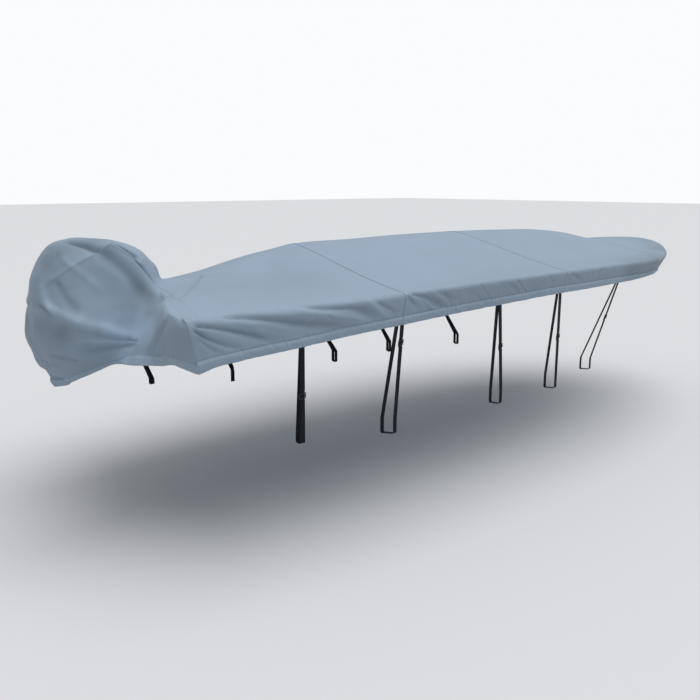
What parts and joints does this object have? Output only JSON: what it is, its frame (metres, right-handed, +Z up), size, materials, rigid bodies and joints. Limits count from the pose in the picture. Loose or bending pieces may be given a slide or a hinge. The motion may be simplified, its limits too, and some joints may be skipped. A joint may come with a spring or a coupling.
{
  "type": "boat cover",
  "caption": "Fitted fabric cover for an open V-hull boat: tented deck panels with side skirts, a rounded hood for an outboard motor, and webbing tie-downs with sliders along the hem.",
  "frame": {"origin": "under the cover's ridge on the centreline, 1.80 m forward of the boat's transom: the place that a pole or the boat would hold up", "axes": "+X towards the bow, +Y to port, +Z up"},
  "size_m": [5.014, 1.889, 1.0091],
  "materials": {
    "cover_cloth": "matt blue-grey woven cloth with a coated back",
    "webbing": "black woven webbing",
    "slider_plastic": "black moulded plastic"
  },
  "bodies": {
    "root": {"stern_panel": "cover_cloth", "middle_panel": "cover_cloth", "fore_panel": "cover_cloth", "bow_panel": "cover_cloth", "hood_cap": "cover_cloth", "neck_gusset": "cover_cloth", "hood_side_starboard": "cover_cloth", "hood_side_port": "cover_cloth", "tie_down_starboard_1": "webbing", "tie_down_starboard_2": "webbing", "tie_down_starboard_3": "webbing", "tie_down_starboard_4": "webbing", "tie_down_starboard_5": "webbing", "slider_starboard_1": "slider_plastic", "slider_starboard_2": "slider_plastic", "slider_starboard_3": "slider_plastic", "slider_starboard_4": "slider_plastic", "slider_starboard_5": "slider_plastic", "tie_down_port_1": "webbing", "tie_down_port_2": "webbing", "tie_down_port_3": "webbing", "tie_down_port_4": "webbing", "tie_down_port_5": "webbing", "slider_port_1": "slider_plastic", "slider_port_2": "slider_plastic", "slider_port_3": "slider_plastic", "slider_port_4": "slider_plastic", "slider_port_5": "slider_plastic"}
  },
  "joints": []
}
